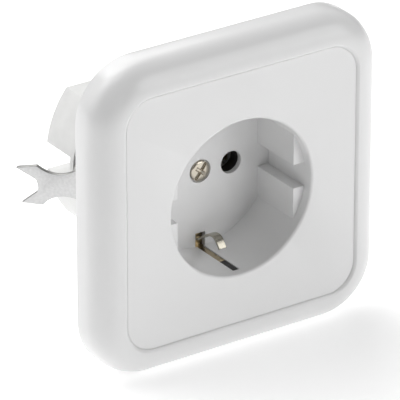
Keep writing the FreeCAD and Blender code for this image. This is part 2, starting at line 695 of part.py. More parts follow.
def ribbon(points, thick, wide):
    """A strip of sheet that follows a smooth line through (y, z) points, centred on x = 0."""
    line = Part.BSplineCurve()
    line.interpolate([Vector(0, y, z) for y, z in points])
    steps = 36
    sides = ([], [])
    for i in range(steps + 1):
        u = line.FirstParameter + (line.LastParameter - line.FirstParameter) * i / steps
        along = line.tangent(u)[0]
        across = Vector(0, -along.z, along.y) * (thick / 2)
        sides[0].append(line.value(u) + across)
        sides[1].append(line.value(u) - across)
    edges = []
    for side in sides:
        curve = Part.BSplineCurve()
        curve.interpolate(side)
        edges.append(curve.toShape())
    for end in (0, -1):
        edges.append(Part.LineSegment(sides[0][end], sides[1][end]).toShape())
    face = Part.Face(Part.Wire(Part.__sortEdges__(edges)))
    face.translate(Vector(-wide / 2, 0, 0))
    return face.extrude(Vector(wide, 0, 0))


def earth_spring(label, lower):
    """A sprung strip: it rises from the floor, bows in to a nose and curls outward at its end."""
    nose, root = D["spring_nose"], D["spring_root"]
    nose_y = num(PANEL) + D["spring_nose_deep"]
    curl_y = num(PANEL) + D["spring_curl_deep"]
    root_y = num(STRAP_FRONT) - 2 * D["fit_gap"]
    path = [(root_y, root),
            (root_y - 1.9, root - 0.5),
            (root_y - 4.1, root - 2.1),
            (nose_y + 0.9, nose + 0.02),
            (nose_y - 0.9, nose + 0.05),
            (nose_y - 2.2, nose + 1.0),
            (curl_y, nose + D["spring_curl"])]
    spring = doc.addObject("Part::Feature", "Spring")
    spring.Shape = ribbon(path, D["spring_sheet"], D["spring_width"])
    spring.Placement = Placement(Vector(0, 0, 0), Rotation(Y_AXIS, 180 if lower else 0))
    keep(spring, label)


# -------------------------------------------------------------------------------------------- claws

def claw_frame():
    """From a claw's own axes (along the arm, across it, inward) to axes along the row's."""
    angle = math.radians(D["claw_back_angle"])
    along = Vector(-math.cos(angle), math.sin(angle), 0)
    inward = Vector(math.sin(angle), math.cos(angle), 0)
    return Placement(Matrix(along.x, Z_AXIS.x, inward.x, 0,
                            along.y, Z_AXIS.y, inward.y, 0,
                            along.z, Z_AXIS.z, inward.z, 0,
                            0, 0, 0, 1))


def side_place(sign, y, roll=True):
    """Where things on a claw's screw stand: rolled about the screw, and turned over on the right."""
    turn = (0 if sign < 0 else 180) - (D["claw_roll"] if roll else 0)
    return Placement(Vector(sign * D["claw_reach"], y, 0), Rotation(Y_AXIS, turn))


def claw_outline():
    """The flat blank: forked tip, shoulders, waist and a root that is forked round the screw."""
    def at(along, across):
        return Vector(along, across, 0)
    root, ear = D["claw_root_half"], D["claw_ear"]
    slot = D["screw_size"] / 2 + 0.35
    slot_end = 0.7
    shoulder = (D["claw_shoulder"], D["claw_shoulder_half"])
    tip = (D["claw_tip"], D["claw_tip_half"])
    throat = (D["claw_fork"] + 0.4, 1.9)
    edges = []
    for side in (1, -1):
        edges.append(Part.LineSegment(at(-ear, side * slot), at(-ear, side * root)))
        edges.append(Part.LineSegment(at(-ear, side * root), at(2.6, side * root)))
        edges.append(Part.Arc(at(2.6, side * root), at(D["claw_waist"], side * D["claw_waist_half"]),
                              at(shoulder[0], side * shoulder[1])))
        edges.append(Part.LineSegment(at(shoulder[0], side * shoulder[1]), at(tip[0], side * tip[1])))
        edges.append(Part.LineSegment(at(tip[0], side * tip[1]), at(throat[0], side * throat[1])))
        edges.append(Part.LineSegment(at(-ear, side * slot), at(slot_end, side * slot)))
    edges.append(Part.Arc(at(throat[0], throat[1]), at(D["claw_fork"], 0), at(throat[0], -throat[1])))
    edges.append(Part.LineSegment(at(slot_end, slot), at(slot_end, -slot)))
    return Part.Wire(Part.__sortEdges__([edge.toShape() for edge in edges]))


def claw(label, sign):
    """Pressed from sheet: the forked blank with two ears that carry the cross nut."""
    thick, offset, ear = D["claw_sheet"], D["claw_offset"], D["claw_ear"]
    blank = Part.Face(claw_outline())
    blank.translate(Vector(0, 0, -offset - thick / 2))
    solid = blank.extrude(Vector(0, 0, thick))
    for side in (1, -1):
        outer = side * D["claw_root_half"]
        inner = outer - side * thick
        low = min(outer, inner)
        plate = Part.makeBox(2 * ear, thick, offset, Vector(-ear, low, -offset))
        eye = Part.makeCylinder(ear, thick, Vector(0, low, 0), Y_AXIS)
        solid = solid.fuse([plate, eye])
    hole = Part.makeCylinder(D["nut_radius"] + D["thread_play"], 4 * ear, Vector(0, -2 * ear, 0), Y_AXIS)
    solid = solid.cut(hole).removeSplitter()
    part = doc.addObject("Part::Feature", "Claw")
    part.Shape = solid
    part.Placement = side_place(sign, D["claw_pivot"]).multiply(claw_frame())
    keep(part, label)


def claw_nut(label, sign):
    """A cross nut: the claw swings on it, and the claw's screw draws it forward."""
    body = new_body(label)
    layer(body, "-(claw_root_half + 0.5)", "claw_root_half + 0.5", disc("nut_radius"))
    hollow(body, "-nut_radius - 1", "nut_radius + 1", disc("screw_size/2 + thread_play"))
    body.Placement = side_place(sign, D["claw_pivot"])


def claw_screw(label, sign):
    long = "(claw_pivot + claw_screw_end + ring_thick + thread_play)"
    body = slotted_screw(label, "claw_head", "claw_head_high", "screw_size", long)
    body.Placement = side_place(sign, -D["ring_thick"] - D["thread_play"], roll=False)


# ------------------------------------------------------------------------------------- the assembly

def build():
    cover_frame()
    centre_plate()
    cover_screw()
    support_ring()
    contact_carrier()
    rear_housing()
    carrier_screws()
    earth_strap()
    strap_nut()
    terminal_block("earth_terminal", "0", EARTH_BLOCK_FRONT, "-earth_block", "earth_block_long", -1)
    head = "(block_high/2 + head_gap)"
    terminal_screw("earth_terminal_screw", "0", EARTH_SCREW, "-(earth_block + %s)" % head, -1)
    earth_spring("earth_spring_upper", False)
    earth_spring("earth_spring_lower", True)
    for side, sign in (("left", -1), ("right", 1)):
        pre = "-" if sign < 0 else ""
        live_contact("live_contact_" + side, pre)
        terminal_block("live_terminal_" + side, pre + "pin_pitch/2", BLOCK_FRONT, "0", "block_side")
        terminal_screw("live_terminal_screw_" + side, pre + "pin_pitch/2", LIVE_SCREW, head, 1)
        claw("claw_" + side, sign)
        claw_nut("claw_nut_" + side, sign)
        claw_screw("claw_screw_" + side, sign)


def write():
    """Check every object and every finished shape, then write one STEP file for each sub-part."""
    doc.recompute()
    for thing in doc.Objects:
        if "Invalid" in thing.State or "Error" in thing.State:
            raise RuntimeError("%s (%s) failed to compute" % (thing.Name, thing.Label))
    for part in PARTS:
        if part.Shape.isNull() or not part.Shape.isValid():
            raise RuntimeError("%s has no valid shape" % part.Label)
    os.makedirs("parts", exist_ok=True)
    for part in PARTS:
        part.Shape.exportStep("parts/%s.step" % part.Label)
        print("%-26s %9.1f mm3" % (part.Label, part.Shape.Volume))


build()
write()
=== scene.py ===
# %% [markdown]
# # A flush-mounted earthed socket outlet
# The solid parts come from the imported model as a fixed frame: one object for each part, in metres,
# with +Z up, the front facing -Y and +Y running into the wall. This file gives those parts their
# surfaces, adds the small shapes that a moulding or a pressing has, and sets up a plain studio.

# %% Load the frame
import json
import math

import bmesh
import bpy
from mathutils import Matrix, Vector


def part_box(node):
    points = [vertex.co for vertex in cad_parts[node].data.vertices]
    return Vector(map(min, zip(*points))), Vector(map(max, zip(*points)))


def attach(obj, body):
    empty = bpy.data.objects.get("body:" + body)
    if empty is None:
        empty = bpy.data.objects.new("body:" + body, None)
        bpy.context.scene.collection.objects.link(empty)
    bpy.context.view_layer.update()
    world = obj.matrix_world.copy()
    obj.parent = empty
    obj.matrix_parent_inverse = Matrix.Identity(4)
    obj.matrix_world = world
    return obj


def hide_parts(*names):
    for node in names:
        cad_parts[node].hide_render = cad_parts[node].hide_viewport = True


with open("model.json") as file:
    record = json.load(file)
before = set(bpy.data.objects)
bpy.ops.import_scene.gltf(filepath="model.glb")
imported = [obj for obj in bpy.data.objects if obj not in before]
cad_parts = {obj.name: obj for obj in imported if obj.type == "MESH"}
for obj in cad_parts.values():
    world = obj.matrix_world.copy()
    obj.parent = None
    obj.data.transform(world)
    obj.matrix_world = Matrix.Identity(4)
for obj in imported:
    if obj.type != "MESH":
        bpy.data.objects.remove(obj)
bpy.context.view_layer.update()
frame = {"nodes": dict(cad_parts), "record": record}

MM = 0.001
nodes = frame["nodes"]

# %% [markdown]
# ## A small kit for node trees
# Every finish below is a tree of shader nodes. Three helpers keep the trees short: one adds a node
# and fills in its inputs, one joins two sockets, and one opens a new node group with named inputs
# and outputs, so that an effect is built once and placed in each material with its own values.

# %% Node helpers
def add(tree, kind, settings=None, **inputs):
    """A new node: settings are its properties, inputs are values or sockets by socket name."""
    node = tree.nodes.new(kind)
    for key, value in (settings or {}).items():
        setattr(node, key, value)
    for key, value in inputs.items():
        socket = node.inputs[int(key[1:]) if key[0] == "i" and key[1:].isdigit() else key.replace("_", " ")]
        if isinstance(value, bpy.types.NodeSocket):
            tree.links.new(value, socket)
        else:
            socket.default_value = value
    return node


def maths(tree, operation, a, b=0.0, clamp=False):
    return add(tree, "ShaderNodeMath", {"operation": operation, "use_clamp": clamp}, i0=a, i1=b).outputs[0]


def blend_colour(tree, factor, a, b):
    """Colour a where factor is 0 and b where it is 1."""
    node = add(tree, "ShaderNodeMix", {"data_type": "RGBA"})
    for index, value in ((0, factor), (6, a), (7, b)):
        if isinstance(value, bpy.types.NodeSocket):
            tree.links.new(value, node.inputs[index])
        else:
            node.inputs[index].default_value = value
    return node.outputs[2]


def new_group(name, inputs, outputs):
    """An empty shader group and its two end nodes."""
    tree = bpy.data.node_groups.new(name, "ShaderNodeTree")
    for label, kind, value in inputs:
        socket = tree.interface.new_socket(label, in_out="INPUT", socket_type=kind)
        socket.default_value = value
    for label, kind in outputs:
        tree.interface.new_socket(label, in_out="OUTPUT", socket_type=kind)
    return tree, tree.nodes.new("NodeGroupInput").outputs, tree.nodes.new("NodeGroupOutput").inputs


NUMBER, VECTOR = "NodeSocketFloat", "NodeSocketVector"

# %% [markdown]
# ## Painted edge light
# Each finish paints a highlight into its colour along edges, and the claws' zinc paints a shade there.
# The Bevel node gives the normal of a slightly rounded edge, so wherever it differs from the true normal
# there is an edge within reach. That needs no texture mask, and it follows any change of shape.

# %% The edge group
edge_tree, inp, out = new_group(
    "SoftEdges", [("Radius", NUMBER, 0.0003)], [("Mask", NUMBER), ("Normal", VECTOR)])
bevel = add(edge_tree, "ShaderNodeBevel", {"samples": 6}, Radius=inp["Radius"])
true = add(edge_tree, "ShaderNodeNewGeometry")
dot = add(edge_tree, "ShaderNodeVectorMath", {"operation": "DOT_PRODUCT"},
          i0=bevel.outputs[0], i1=true.outputs["Normal"])
away = maths(edge_tree, "SUBTRACT", 1.0, dot.outputs["Value"])
mask = maths(edge_tree, "MULTIPLY", away, 6.0, clamp=True)
edge_tree.links.new(mask, out["Mask"])
edge_tree.links.new(bevel.outputs[0], out["Normal"])
print("made group", edge_tree.name)

# %% [markdown]
# ## The skin of a moulding
# Moulded plastic is never quite even. The tool leaves a very fine orange peel, the flow leaves broad
# faint clouds, and a little dust dulls it here and there. All three are noise on object coordinates
# at their true size in metres: peel under a millimetre, clouds of a few centimetres.

# %% The moulding group
mould_tree, inp, out = new_group(
    "MouldedSkin",
    [("Peel Size", NUMBER, 900.0), ("Cloud Size", NUMBER, 40.0), ("Dust", NUMBER, 0.3)],
    [("Peel", NUMBER), ("Cloud", NUMBER), ("Dust", NUMBER)])
place = add(mould_tree, "ShaderNodeTexCoord").outputs["Object"]
peel = add(mould_tree, "ShaderNodeTexNoise", Vector=place, Scale=inp["Peel Size"], Detail=3.0)
cloud = add(mould_tree, "ShaderNodeTexNoise", Vector=place, Scale=inp["Cloud Size"], Detail=2.0)
speck = add(mould_tree, "ShaderNodeTexNoise", Vector=place, Scale=3500.0, Detail=4.0)
rare = maths(mould_tree, "SUBTRACT", speck.outputs["Fac"], 0.62, clamp=True)
mould_tree.links.new(peel.outputs["Fac"], out["Peel"])
mould_tree.links.new(cloud.outputs["Fac"], out["Cloud"])
strong = maths(mould_tree, "MULTIPLY", rare, 6.0)
mould_tree.links.new(maths(mould_tree, "MULTIPLY", strong, inp["Dust"], clamp=True), out["Dust"])
print("made group", mould_tree.name)

# %% [markdown]
# ## The skin of plated metal
# Zinc and nickel plate show three things: fine scratches that run one way, where the sheet was
# rolled or the bar was turned, blotches where the bath left the plate duller, and grains. Stretching
# a noise along one axis with a Mapping node makes the scratches.

# %% The plating group
plate_tree, inp, out = new_group(
    "PlatedMetal",
    [("Scratch Stretch", VECTOR, (200.0, 4000.0, 4000.0)), ("Blotch Size", NUMBER, 500.0)],
    [("Scratch", NUMBER), ("Blotch", NUMBER), ("Grain", NUMBER)])
place = add(plate_tree, "ShaderNodeTexCoord").outputs["Object"]
drawn = add(plate_tree, "ShaderNodeVectorMath", {"operation": "MULTIPLY"},
            i0=place, i1=inp["Scratch Stretch"])
scratch = add(plate_tree, "ShaderNodeTexNoise", Vector=drawn.outputs[0],
              Scale=1.0, Detail=4.0, Roughness=0.7)
blotch = add(plate_tree, "ShaderNodeTexNoise", Vector=place, Scale=inp["Blotch Size"], Detail=5.0)
grain = add(plate_tree, "ShaderNodeTexVoronoi", Vector=place, Scale=1800.0)
plate_tree.links.new(scratch.outputs["Fac"], out["Scratch"])
plate_tree.links.new(blotch.outputs["Fac"], out["Blotch"])
plate_tree.links.new(grain.outputs["Distance"], out["Grain"])
print("made group", plate_tree.name)

# %% [markdown]
# ## Finishes
# One function makes every plastic and one makes every metal: the Principled shader stays in the
# material, and the groups above feed its colour, its roughness and its bump. The cover is a dense,
# slightly glossy white moulding, the body in the wall is a duller pressed thermoset, and the sheet
# parts are zinc-plated steel, brass and nickel-plated spring strip.

# %% Plastic and metal makers
def place_group(tree, group, **values):
    node = tree.nodes.new("ShaderNodeGroup")
    node.node_tree = group
    for key, value in values.items():
        node.inputs[key.replace("_", " ")].default_value = value
    return node.outputs


def ranged(tree, value, low, high):
    """A 0 to 1 mask spread over a range of values."""
    return add(tree, "ShaderNodeMapRange", Value=value, To_Min=low, To_Max=high).outputs[0]


def shade(colour, factor):
    return tuple(min(1.0, c * factor) for c in colour) + (1.0,)


def new_material(name):
    material = bpy.data.materials.new(name)
    material.use_nodes = True
    tree = material.node_tree
    tree.nodes.clear()
    shader = tree.nodes.new("ShaderNodeBsdfPrincipled")
    surface = tree.nodes.new("ShaderNodeOutputMaterial")
    tree.links.new(shader.outputs[0], surface.inputs["Surface"])
    return material, tree, shader


def plastic(name, colour, dull, peel_size=900.0, peel_depth=0.000006, cloud=0.03, cloud_size=40.0,
            edge=0.0003, dust=0.3, painted_edge_tone=1.04):
    """A moulded plastic: dull is its lowest and highest roughness."""
    material, tree, shader = new_material(name)
    edges = place_group(tree, edge_tree, Radius=edge)
    skin = place_group(tree, mould_tree, Peel_Size=peel_size, Cloud_Size=cloud_size, Dust=dust)
    base = blend_colour(tree, skin["Cloud"], shade(colour, 1.0 - cloud), shade(colour, 1.0 + cloud))
    base = blend_colour(tree, skin["Dust"], base, shade(colour, 0.9))
    # Painted highlight along edges: where the edge mask is, the colour is scaled by painted_edge_tone.
    base = blend_colour(tree, edges["Mask"], base, shade(colour, painted_edge_tone))
    bump = add(tree, "ShaderNodeBump", Height=skin["Peel"], Distance=peel_depth, Strength=1.0,
               Normal=edges["Normal"])
    tree.links.new(base, shader.inputs["Base Color"])
    tree.links.new(ranged(tree, skin["Cloud"], *dull), shader.inputs["Roughness"])
    tree.links.new(bump.outputs[0], shader.inputs["Normal"])
    return material, shader


def metal(name, colour, dull, stretch=(200.0, 4000.0, 4000.0), blotch_size=500.0, depth=0.00001, tone=0.16,
          edge=0.0002, painted_edge_tone=1.25, metallic=1.0):
    """A plated metal: dull is its lowest and highest roughness, stretch the way of its scratches."""
    material, tree, shader = new_material(name)
    edges = place_group(tree, edge_tree, Radius=edge)
    skin = place_group(tree, plate_tree, Scratch_Stretch=stretch, Blotch_Size=blotch_size)
    base = blend_colour(tree, skin["Blotch"], shade(colour, 1.0 - tone), shade(colour, 1.0 + tone))
    base = blend_colour(tree, maths(tree, "MULTIPLY", skin["Scratch"], 0.35), base, shade(colour, 0.7))
    # Painted edge light: where the edge mask is, the colour is scaled by painted_edge_tone, a highlight
    # above 1 and a shade below 1.
    base = blend_colour(tree, edges["Mask"], base, shade(colour, painted_edge_tone))
    height = maths(tree, "ADD", skin["Scratch"], maths(tree, "MULTIPLY", skin["Grain"], 0.6))
    bump = add(tree, "ShaderNodeBump", Height=height, Distance=depth, Strength=1.0, Normal=edges["Normal"])
    shader.inputs["Metallic"].default_value = metallic
    tree.links.new(base, shader.inputs["Base Color"])
    tree.links.new(ranged(tree, skin["Blotch"], *dull), shader.inputs["Roughness"])
    tree.links.new(bump.outputs[0], shader.inputs["Normal"])
    return material, shader


# %% [markdown]
# The colours below are those of clean parts: a white cover, a slightly warmer white body, near-black
# for the inner cup, pale zinc, warm nickel and dull brass. Only the cover gets a clear coat, because
# only the cover is polished by its mould.

# %% The finishes themselves
cover_white, gloss = plastic("cover_white", (0.80, 0.80, 0.80), (0.26, 0.36), cloud=0.012)
gloss.inputs["Coat Weight"].default_value = 0.25
gloss.inputs["Coat Roughness"].default_value = 0.12
housing_white, gloss = plastic("housing_white", (0.80, 0.80, 0.79), (0.42, 0.6), peel_size=500.0,
                               peel_depth=0.00003, cloud=0.07, cloud_size=260.0)
# painted_edge_tone 2.2 paints a strong highlight along the black carrier's edges.
carrier_black, gloss = plastic("carrier_black", (0.022, 0.021, 0.02), (0.4, 0.6), peel_size=600.0,
                               peel_depth=0.00001, cloud=0.2, painted_edge_tone=2.2)
# painted_edge_tone 0.5 paints shade along the edges of the claws' zinc faces.
zinc_sheet, gloss = metal("zinc_sheet", (0.60, 0.60, 0.60), (0.3, 0.5), stretch=(2200.0, 900.0, 2600.0),
                          blotch_size=1500.0, depth=0.00002, tone=0.22, painted_edge_tone=0.5)
zinc_turned, gloss = metal("zinc_turned", (0.68, 0.68, 0.67), (0.25, 0.4), stretch=(5000.0, 300.0, 5000.0))
# Bare steel for the claws' cut edges, dark enough to also paint the shade that lies along them.
cut_steel_and_edge_shade, gloss = metal("cut_steel_and_edge_shade", (0.30, 0.30, 0.29), (0.35, 0.5), stretch=(3000.0, 3000.0, 300.0),
                         painted_edge_tone=1.0)
nickel, gloss = metal("nickel", (0.62, 0.57, 0.48), (0.14, 0.26), stretch=(3000.0, 3000.0, 3000.0),
                      tone=0.1)
spring_strip, gloss = metal("spring_strip", (0.40, 0.38, 0.32), (0.18, 0.3),
                            stretch=(4000.0, 200.0, 200.0), tone=0.1)
brass, gloss = metal("brass", (0.42, 0.35, 0.23), (0.2, 0.38), stretch=(4000.0, 200.0, 4000.0), tone=0.12)
print("finishes:", [m.name for m in bpy.data.materials])

# %% [markdown]
# ## From a loose mesh to a finished piece
# A part arrives as loose triangles. A copy with its doubles merged can be shaded smooth across
# curves and sharp at corners, which the loose one can't. The normals it came with belong to the loose
# triangles, so they are dropped first. Where an edge should catch the light, a Bevel modifier with a
# real radius follows.

# %% Finish a part
def own_mesh(name, mesh, material, body, stands_for):
    """A piece at the origin that rides on a body and stands for one of its parts."""
    piece = bpy.data.objects.new(name, mesh)
    bpy.context.scene.collection.objects.link(piece)
    mesh.materials.clear()
    mesh.materials.append(material)
    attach(piece, body)
    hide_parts(stands_for)
    return piece


def sharpen(mesh, degrees=32.0):
    """Smooth shading with sharp edges where two faces meet at more than this angle."""
    mesh.shade_smooth()
    mesh.set_sharp_from_angle(angle=math.radians(degrees))


def merged(node, joined=False):
    """A clean copy of a part's mesh: doubles merged and, if asked, flat faces joined."""
    mesh = nodes[node].data.copy()
    work = bmesh.new()
    work.from_mesh(mesh)
    bmesh.ops.remove_doubles(work, verts=work.verts, dist=1e-6)
    if joined:
        bmesh.ops.dissolve_limit(work, angle_limit=math.radians(0.4), verts=work.verts,
                                 edges=work.edges, delimit={"NORMAL"})
    work.to_mesh(mesh)
    work.free()
    if "custom_normal" in mesh.attributes:
        mesh.attributes.remove(mesh.attributes["custom_normal"])
    return mesh


def baked(piece):
    """Turn a piece's modifiers into plain mesh."""
    graph = bpy.context.evaluated_depsgraph_get()
    mesh = bpy.data.meshes.new_from_object(piece.evaluated_get(graph), depsgraph=graph)
    piece.modifiers.clear()
    piece.data = mesh
    return mesh


bodies = frame["record"]["behaviour"]["bodies"]
BODY_OF = {node: body for body, listed in bodies.items() for node in listed}


def finish_part(node, material, radius=None, segments=2, degrees=32.0):
    """The part's own shape, merged, shaded and if asked with rounded edges."""
    mesh = merged(node, joined=bool(radius))
    piece = bpy.data.objects.new(node + "_finished", mesh)
    bpy.context.scene.collection.objects.link(piece)
    if radius:
        rounding = piece.modifiers.new("Rounding", "BEVEL")
        rounding.width = radius
        rounding.segments = segments
        rounding.limit_method = "ANGLE"
        rounding.angle_limit = math.radians(degrees)
        mesh = baked(piece)
    sharpen(mesh, degrees)
    mesh.materials.clear()
    mesh.materials.append(material)
    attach(piece, BODY_OF[node])
    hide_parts(node)
    return piece


# %% [markdown]
# ## Parts that keep their shape
# Most parts keep their own shape and only need a finish. The claws are sheared from galvanised sheet,
# so their broad sides are zinc and their cut edges are bare steel. The faces that stand across the broad
# side get the second finish, which is darker than bare steel alone and paints the shade along the edges.

# %% Cut edges
def bare_and_shaded_edges(piece, material):
    """Give a sheet part's cut edges a darker finish of bare steel and painted shade: faces that stand
    across its broad side.
    """
    mesh = piece.data
    mesh.materials.append(material)
    broad = max(mesh.polygons, key=lambda face: face.area).normal.copy()
    for face in mesh.polygons:
        face.material_index = int(abs(face.normal.dot(broad)) < 0.75)


# %% Every part's finish
FINISH = {
    "centre_plate": cover_white, "rear_housing": housing_white,
    "contact_carrier": carrier_black, "support_ring": zinc_sheet, "cover_screw_nut": zinc_turned,
    "live_contact_left": brass, "live_contact_right": brass,
    "live_terminal_left": brass, "live_terminal_right": brass,
    "earth_strap": brass, "earth_terminal": brass,
    "claw_nut_left": zinc_turned, "claw_nut_right": zinc_turned,
}
ROUNDED = {
    "claw_left": (zinc_sheet, 0.00012), "claw_right": (zinc_sheet, 0.00012),
    "earth_spring_upper": (spring_strip, 0.00008), "earth_spring_lower": (spring_strip, 0.00008),
}
for node, material in FINISH.items():
    finish_part(node, material)
for node, (material, radius) in ROUNDED.items():
    finish_part(node, material, radius)
for side in ("left", "right"):
    # The cut edge faces get bare steel with painted shade.
    bare_and_shaded_edges(bpy.data.objects["claw_%s_finished" % side], cut_steel_and_edge_shade)
print("dressed", len(FINISH) + len(ROUNDED), "parts")

# %% [markdown]
# ## The cover frame
# The frame is one moulding with the same section all round: a straight back edge, a quarter-round
# front, a small sloped lip at the window and a hollow behind. It could be cut from a block, but a
# section swept round a square with round corners gives even, dense faces, and those are what make
# a glossy quarter-round shade without facets. Each point of the section is a half side and a depth,
# and its corner radius shrinks as the half side does, so the corners stay concentric.

# %% Sweep the frame's section
STEPS = 28


def square_ring(half, corner, y):
    """Points round a square with round corners, all at depth y."""
    ring = []
    for quarter in range(4):
        for i in range(STEPS + 1):
            angle = math.radians(90 * quarter + 90 * i / STEPS)
            turn = math.radians(90 * quarter + 45)
            middle_x = math.copysign(half - corner, math.cos(turn))
            middle_z = math.copysign(half - corner, math.sin(turn))
            x = middle_x + corner * math.cos(angle)
            z = middle_z + corner * math.sin(angle)
            ring.append((x, y, z))
    return ring


def arc(centre, radius, start, end, count):
    """Section points along a circle, angles in degrees from outward towards the front."""
    points = []
    for i in range(count + 1):
        a = math.radians(start + (end - start) * i / count)
        points.append((centre[0] + radius * math.cos(a), centre[1] - radius * math.sin(a)))
    return points


frame_low, frame_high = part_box("cover_frame")
HALF = frame_high[0] / MM
FRONT = frame_low[1] / MM
CORNER, WINDOW_CORNER = 16.0, 8.0
FRONT_ROUND, BACK_ROUND, HOLLOW_ROUND = 7.4, 0.25, 2.0
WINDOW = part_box("centre_plate")[1][0] / MM + 0.04
section = [(HALF - 2.2, -0.15), (HALF - 2.05, 0.0), (HALF - BACK_ROUND, 0.0)]
section += arc((HALF - BACK_ROUND, -BACK_ROUND), BACK_ROUND, -90, 0, 4)[1:]
section += arc((HALF - FRONT_ROUND, FRONT + FRONT_ROUND), FRONT_ROUND, 0, 90, 24)
section += [(WINDOW + 0.78, FRONT), (WINDOW + 0.66, FRONT + 0.03), (WINDOW + 0.06, FRONT + 0.54),
            (WINDOW, FRONT + 0.66), (WINDOW, FRONT + 2.8), (WINDOW - 2.05, FRONT + 2.8),
            (WINDOW - 2.2, FRONT + 2.95), (WINDOW - 2.2, FRONT + 4.25), (WINDOW - 2.05, FRONT + 4.4)]
section += arc((HALF - 4.4, FRONT + 4.4 + HOLLOW_ROUND), HOLLOW_ROUND, 90, 0, 8)
work = bmesh.new()
rings = []
for half, y in section:
    outside = half > WINDOW + 0.3
    corner = half - (HALF - CORNER) if outside else half - (WINDOW - WINDOW_CORNER)
    rings.append([work.verts.new((x * MM, y * MM, z * MM)) for x, y, z in square_ring(half, corner, y)])
count = len(rings[0])
for ring, following in zip(rings, rings[1:] + rings[:1]):
    for i in range(count):
        work.faces.new((ring[i], ring[(i + 1) % count], following[(i + 1) % count], following[i]))
bmesh.ops.recalc_face_normals(work, faces=work.faces)
frame_mesh = bpy.data.meshes.new("cover_frame_moulding")
work.to_mesh(frame_mesh)
work.free()
sharpen(frame_mesh, 50.0)
own_mesh("cover_frame_moulding", frame_mesh, cover_white, "socket_body", "cover_frame")
print("frame:", len(frame_mesh.polygons), "faces, section of", len(section), "points")

# %% [markdown]
# ## Stiffening ribs behind the frame
# A thin frame of this size would warp as it cools, so its hollow is ribbed. The ribs are all alike
# and evenly spaced, which is a job for Geometry Nodes: a line of points, a rib on each, and the row
# turned to the four sides. The sizes are named inputs of the tree.

# %% A Geometry Nodes helper
def new_shape_tree(name, inputs):
    """A geometry tree with named inputs and one output; returns it with its end nodes."""
    tree = bpy.data.node_groups.new(name, "GeometryNodeTree")
    tree.interface.new_socket("Geometry", in_out="INPUT", socket_type="NodeSocketGeometry")
    for label, kind, value in inputs:
        tree.interface.new_socket(label, in_out="INPUT", socket_type=kind).default_value = value
    tree.interface.new_socket("Geometry", in_out="OUTPUT", socket_type="NodeSocketGeometry")
    return tree, tree.nodes.new("NodeGroupInput").outputs, tree.nodes.new("NodeGroupOutput").inputs


def finish_tree(tree, shape, material, result):
    """Real geometry, and a material, at the end of a tree."""
    real = add(tree, "GeometryNodeRealizeInstances", i0=shape)
    painted = add(tree, "GeometryNodeSetMaterial", i0=real.outputs[0])
    painted.inputs["Material"].default_value = material
    tree.links.new(painted.outputs[0], result[0])


def grown(name, tree, values, body, shift=None):
    """Run a tree with these values and keep the result as a plain mesh on a body."""
    seed = bpy.data.meshes.new(name)
    piece = bpy.data.objects.new(name, seed)
    bpy.context.scene.collection.objects.link(piece)
    modifier = piece.modifiers.new("Shape", "NODES")
    modifier.node_group = tree
    sockets = {item.name: item.identifier for item in tree.interface.items_tree
               if item.item_type == "SOCKET" and item.in_out == "INPUT"}
    for label, value in values.items():
        modifier[sockets[label]] = value
    mesh = baked(piece)
    if shift is not None:
        mesh.transform(shift)
    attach(piece, body)
    print("grew", name, "with", len(mesh.polygons), "faces")
    return piece


# %% [markdown]
# Five ribs a side keep the frame flat without showing. The row is centred by starting half a row to
# the left, so it stays centred when the number or the spacing changes.

# %% The ribs
WHOLE = "NodeSocketInt"
rib_tree, inp, out = new_shape_tree("FrameRibs", [
    ("Ribs", WHOLE, 5), ("Spacing", NUMBER, 0.0135), ("Reach", NUMBER, 0.0389), ("Depth", NUMBER, -0.0045),
    ("Rib Long", NUMBER, 0.0034), ("Rib Thick", NUMBER, 0.0009), ("Rib Deep", NUMBER, 0.0046)])
half_count = add(rib_tree, "ShaderNodeMath", {"operation": "MULTIPLY_ADD"}, i0=inp["Ribs"], i1=-0.5, i2=0.5)
first = maths(rib_tree, "MULTIPLY", half_count.outputs[0], inp["Spacing"])
start = add(rib_tree, "ShaderNodeCombineXYZ", X=first, Y=inp["Depth"], Z=inp["Reach"])
step = add(rib_tree, "ShaderNodeCombineXYZ", X=inp["Spacing"])
line = add(rib_tree, "GeometryNodeMeshLine", {"mode": "OFFSET"}, Count=inp["Ribs"],
           Start_Location=start.outputs[0], Offset=step.outputs[0])
size = add(rib_tree, "ShaderNodeCombineXYZ", X=inp["Rib Thick"], Y=inp["Rib Deep"], Z=inp["Rib Long"])
rib = add(rib_tree, "GeometryNodeMeshCube", Size=size.outputs[0])
row = add(rib_tree, "GeometryNodeInstanceOnPoints", Points=line.outputs[0], Instance=rib.outputs[0])
sides = rib_tree.nodes.new("GeometryNodeJoinGeometry")
for quarter in range(4):
    turned = add(rib_tree, "GeometryNodeTransform", Geometry=row.outputs[0],
                 Rotation=(0.0, math.pi / 2 * quarter, 0.0))
    rib_tree.links.new(turned.outputs[0], sides.inputs[0])
finish_tree(rib_tree, sides.outputs[0], cover_white, out)
grown("frame_ribs", rib_tree, {"Ribs": 5}, "socket_body")

# %% [markdown]
# ## Screws
# All the screws are lathe work: a head with a rounded rim, a shank, and a recess for the driver. A
# section turned about the Y axis gives head and shank, a cutter gives the recess, and the thread is
# one ridge wound round the shank by a second geometry tree. The cover's screw takes either a blade
# or a cross driver, and those of the claws and terminals have a plain slot.

